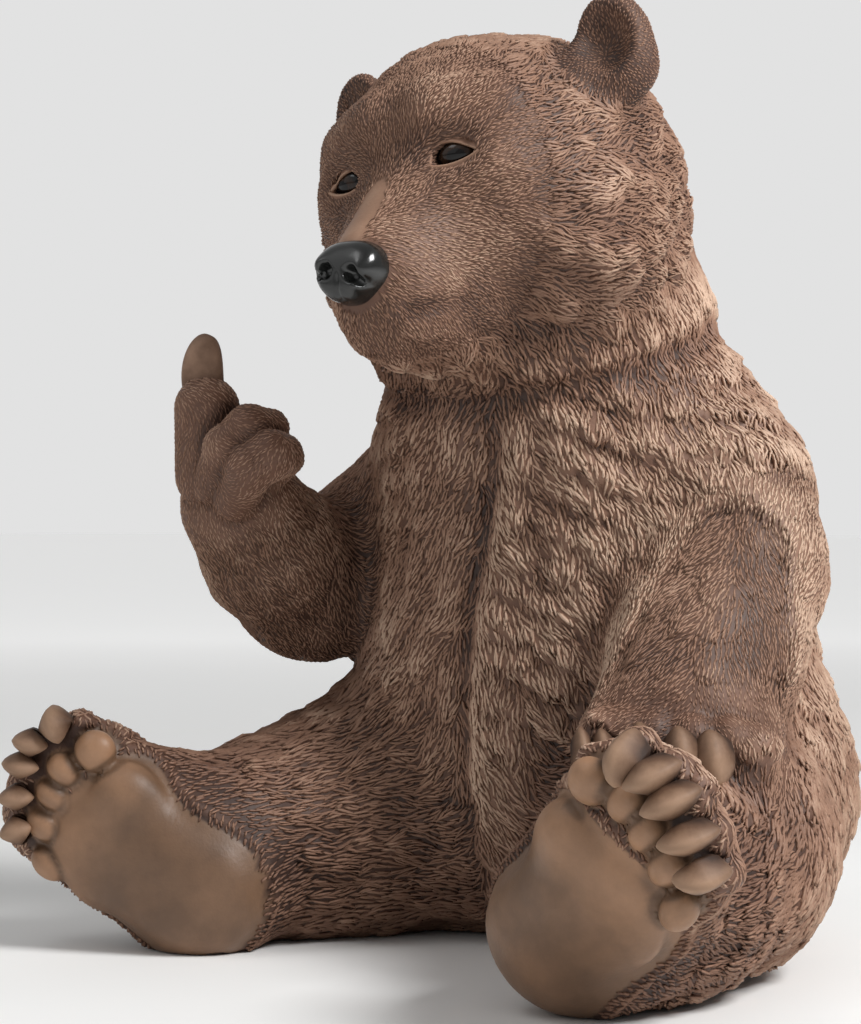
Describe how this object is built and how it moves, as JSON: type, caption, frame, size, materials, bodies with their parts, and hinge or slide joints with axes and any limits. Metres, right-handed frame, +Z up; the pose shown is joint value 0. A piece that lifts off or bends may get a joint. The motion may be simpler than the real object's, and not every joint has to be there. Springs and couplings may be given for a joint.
{
  "type": "seated bear garden statue",
  "caption": "Seated bear figure with carved fur, one forepaw raised with a single finger up, the other on its thigh, bare soles forward and inset glossy eyes.",
  "frame": {"origin": "on the flat underside, in the bear's left-right middle, just in front of the middle of its rump", "axes": "+Z up, -Y the way the bear faces, +X its left side"},
  "size_m": [0.3416, 0.2864, 0.3622],
  "materials": {
    "painted_resin": "matt, brown paint with a dark wash in the grooves and a paler dry-brushed coat on the ridges",
    "eye_gloss": "high gloss, near black with a brown ring"
  },
  "bodies": {
    "root": {"body": "painted_resin", "eye_left": "eye_gloss", "eye_right": "eye_gloss"}
  },
  "joints": []
}
